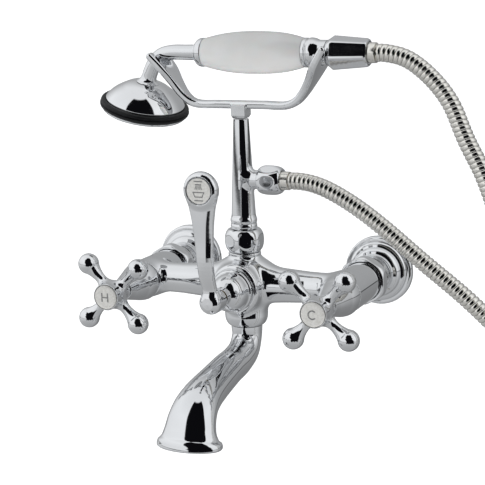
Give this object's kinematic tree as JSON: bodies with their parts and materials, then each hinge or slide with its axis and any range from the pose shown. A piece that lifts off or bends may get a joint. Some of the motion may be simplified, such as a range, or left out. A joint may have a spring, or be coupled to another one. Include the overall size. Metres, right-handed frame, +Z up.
{
  "type": "wall mounted bath faucet",
  "caption": "Wall-mounted chrome bath faucet with cross-handle valves, a lever diverter, a flared spout, and a telephone hand shower with a porcelain grip on a fork cradle.",
  "frame": {"origin": "on the wall's face, midway between the supply pipes, at the height of the valve axes", "axes": "+Y into the wall, +Z up, +X to the right of a person facing the faucet"},
  "size_m": [0.4754, 0.2123, 0.6698],
  "materials": {
    "chrome": "polished chrome plate on cast brass",
    "brass": "plain machined brass",
    "steel": "stainless steel screw",
    "hose_strip": "bright interlocked metal strip, slightly warm",
    "porcelain": "white glazed porcelain",
    "enamel": "off-white enamel with grey marks",
    "ceramic": "lapped valve ceramic",
    "rubber": "black rubber"
  },
  "bodies": {
    "faucet": {"faucet_body": "chrome", "spout": "chrome", "left_wall_flange": "chrome", "right_wall_flange": "chrome", "left_supply_union": "chrome", "right_supply_union": "chrome", "left_coupling_nut": "chrome", "right_coupling_nut": "chrome", "hot_bonnet": "chrome", "cold_bonnet": "chrome", "diverter_bonnet": "chrome", "riser_coupling_nut": "chrome", "riser_column": "chrome", "cradle": "chrome", "outlet_hose_nut": "chrome", "hot_cartridge": "brass", "cold_cartridge": "brass", "diverter_sleeve": "brass", "shower_hose": "hose_strip", "outlet_hose_ferrule": "hose_strip", "hot_fixed_disc": "ceramic", "cold_fixed_disc": "ceramic", "left_inlet_washer": "rubber", "right_inlet_washer": "rubber", "riser_washer": "rubber", "outlet_washer": "rubber"},
    "hot_handle": {"hot_cross_handle": "chrome", "hot_stem": "brass", "hot_moving_disc": "ceramic", "hot_handle_screw": "steel", "hot_index_button": "enamel"},
    "cold_handle": {"cold_cross_handle": "chrome", "cold_stem": "brass", "cold_moving_disc": "ceramic", "cold_handle_screw": "steel", "cold_index_button": "enamel"},
    "lever": {"diverter_lever": "chrome", "diverter_rotor": "brass", "lever_label_disc": "enamel", "lever_set_screw": "steel"},
    "hand_shower": {"porcelain_grip": "porcelain", "handle_core_tube": "brass", "front_grip_ferrule": "chrome", "rear_grip_ferrule": "chrome", "handset_hose_nut": "chrome", "handset_washer": "rubber", "handset_hose_ferrule": "hose_strip", "shower_neck": "chrome", "shower_bell": "chrome", "rubber_bumper_ring": "rubber", "spray_face": "chrome"}
  },
  "joints": [
    {"name": "hot_handle_turn", "type": "hinge", "parent": "faucet", "child": "hot_handle", "pos_m": [-0.0889, -0.1454, 0], "axis": [0, -1, 0], "range_deg": [0, 90]},
    {"name": "cold_handle_turn", "type": "hinge", "parent": "faucet", "child": "cold_handle", "pos_m": [0.0889, -0.1454, 0], "axis": [0, 1, 0], "range_deg": [0, 90]},
    {"name": "diverter_lever_turn", "type": "hinge", "parent": "faucet", "child": "lever", "pos_m": [0, -0.1454, 0], "axis": [0, 1, 0], "range_deg": [-45, 45]},
    {"name": "hand_shower_lift", "type": "slide", "parent": "faucet", "child": "hand_shower", "axis": [-0.4472, 0, 0.8944], "range_m": [0, 0.06]}
  ]
}
